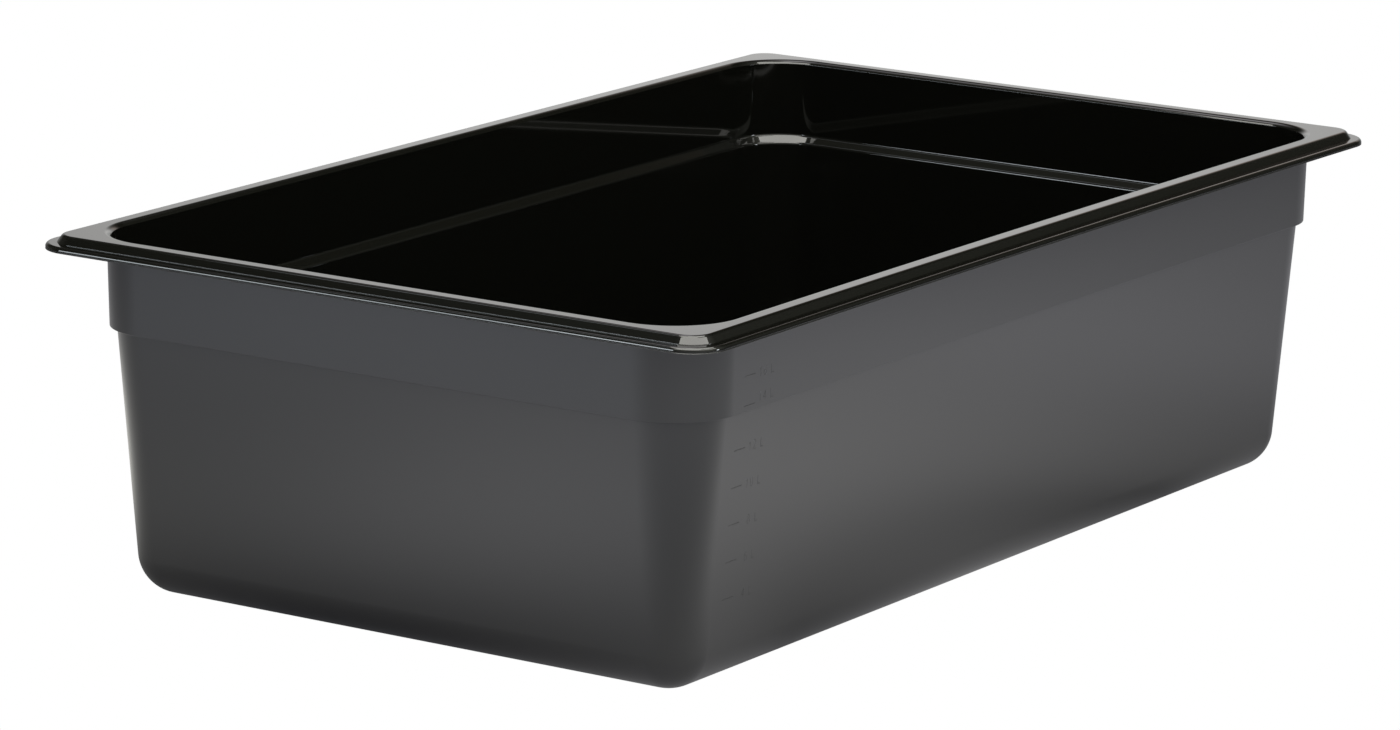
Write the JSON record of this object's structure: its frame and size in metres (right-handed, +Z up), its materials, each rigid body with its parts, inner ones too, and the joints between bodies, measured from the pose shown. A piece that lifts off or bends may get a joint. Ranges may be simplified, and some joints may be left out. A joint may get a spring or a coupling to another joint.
{
  "type": "deli food pan",
  "caption": "Deep rectangular black food pan with a flat stepped rim, rounded corners, drafted walls, a stacking shoulder and a moulded scale of litres.",
  "frame": {"origin": "centre of the underside of the base", "axes": "+Z up, +X along the long sides, +Y across; the scale of litres is on the -Y side near its -X end"},
  "size_m": [0.53, 0.325, 0.15],
  "materials": {
    "pan": "black polycarbonate, polished inside and on top of the rim, fine satin outside below the flange"
  },
  "bodies": {
    "root": {"pan": "pan"}
  },
  "joints": []
}
